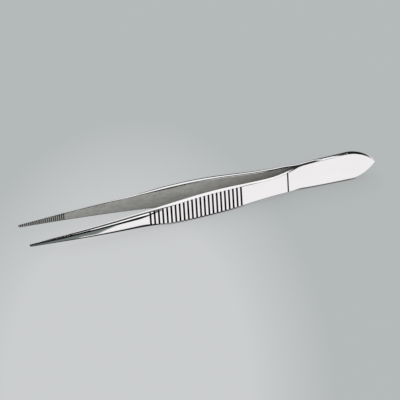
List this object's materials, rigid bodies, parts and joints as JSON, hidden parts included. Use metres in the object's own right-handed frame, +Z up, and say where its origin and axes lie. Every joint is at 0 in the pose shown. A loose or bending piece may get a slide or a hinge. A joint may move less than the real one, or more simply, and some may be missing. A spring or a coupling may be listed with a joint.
{
  "type": "thumb forceps",
  "caption": "Sprung thumb forceps with two blades joined at a pointed tail, ribbed finger grips and slim toothed jaws, lying on their edges.",
  "frame": {"origin": "centre of the footprint at the floor, with the forceps lying on their long edges", "axes": "+X from the jaws towards the tail, +Y across the gap from the front blade to the rear blade, +Z up"},
  "size_m": [0.145, 0.0182, 0.0115],
  "materials": {
    "stainless_steel": "polished outside, satin on the inner faces"
  },
  "bodies": {
    "root": {"front_blade": "stainless_steel", "rear_blade": "stainless_steel"}
  },
  "joints": []
}
